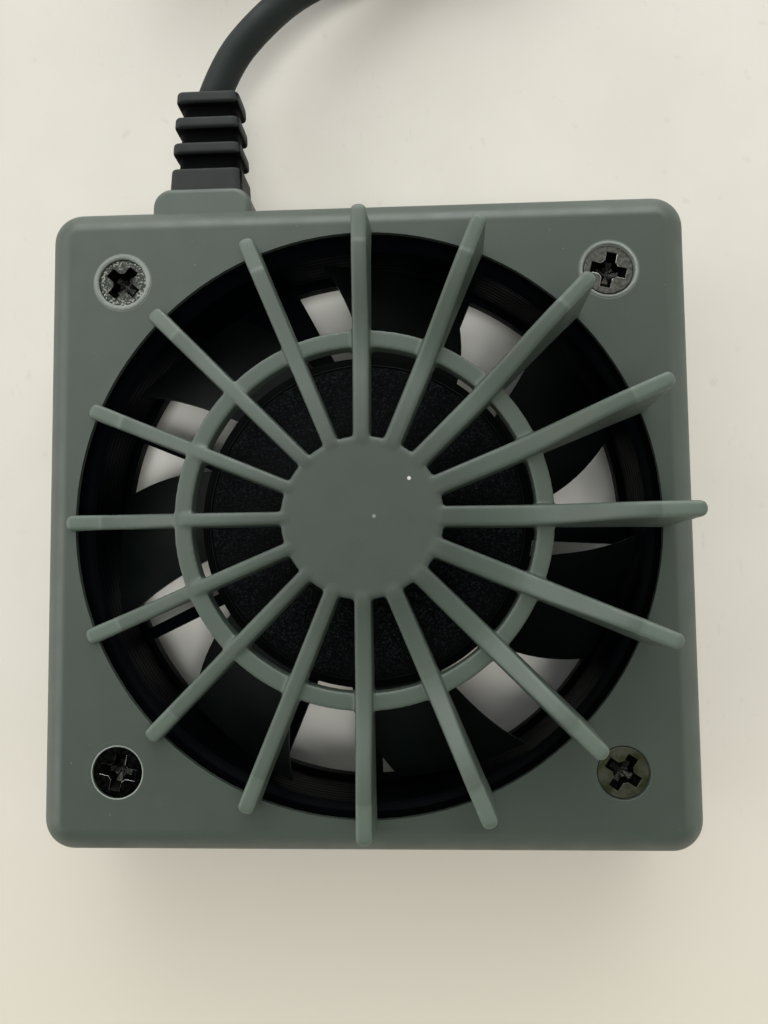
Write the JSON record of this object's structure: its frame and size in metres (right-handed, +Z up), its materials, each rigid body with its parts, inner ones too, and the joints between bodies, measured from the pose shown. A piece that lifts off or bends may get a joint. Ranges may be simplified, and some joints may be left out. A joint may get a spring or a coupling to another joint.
{
  "type": "guarded axial fan",
  "caption": "Square cased axial fan lying on its back, with a radial finned guard over a bladed rotor, corner screws, and a ribbed cable exit to a corded plug.",
  "frame": {"origin": "on the surface that the feet stand on, under the middle of the case and its cable boss", "axes": "+Z up, out of the guarded inlet along the rotor axis; +Y towards the side that the cable leaves; +X towards the taller fins"},
  "size_m": [0.0681, 0.161, 0.0273],
  "materials": {
    "case": "soft-touch matte, grey-green",
    "fan_plastic": "black, fine spark texture",
    "screw_steel": "blackened, worn",
    "plain_steel": "bright",
    "foot_rubber": "matte",
    "ferrite": "bonded ferrite, matt",
    "bronze": "sintered",
    "nylon": "natural",
    "lamination": "stacked sheet",
    "copper": "enamelled wire",
    "board": "green solder mask",
    "chip": "moulded package",
    "wire": "insulated wire",
    "label": "blank foil label",
    "cord_rubber": "satin black jacket",
    "relief_rubber": "moulded, satin",
    "plug_metal": "nickel plated",
    "plug_plastic": "white",
    "gold": "plated",
    "tie": "black strap"
  },
  "bodies": {
    "root": {"front_cover": "case", "guard_disc": "case", "guard_ring": "case", "guard_fins": "case", "rear_cover": "case", "rubber_feet": "foot_rubber", "cover_nuts": "plain_steel", "cover_screws": "screw_steel", "fan_frame": "fan_plastic", "sleeve_bearing": "bronze", "oil_washer": "nylon", "thrust_pad": "nylon", "stator_core": "lamination", "stator_bobbin": "nylon", "stator_coils": "copper", "circuit_board": "board", "driver_chip": "chip", "lead_wires": "wire", "motor_label": "label", "strain_relief": "relief_rubber", "cord": "cord_rubber", "cord_coil": "cord_rubber", "cord_tail": "cord_rubber", "coil_tie": "tie", "plug_body": "relief_rubber", "plug_shell": "plug_metal", "plug_tongue": "plug_plastic", "plug_contacts": "gold"},
    "rotor": {"impeller": "fan_plastic", "rotor_cup": "plain_steel", "magnet_ring": "ferrite", "shaft": "plain_steel", "retaining_ring": "nylon"}
  },
  "joints": [
    {"name": "rotor_spin", "type": "hinge", "parent": "root", "child": "rotor", "pos_m": [0, -0.0014, 0.01], "axis": [0, 0, 1], "continuous": true}
  ]
}
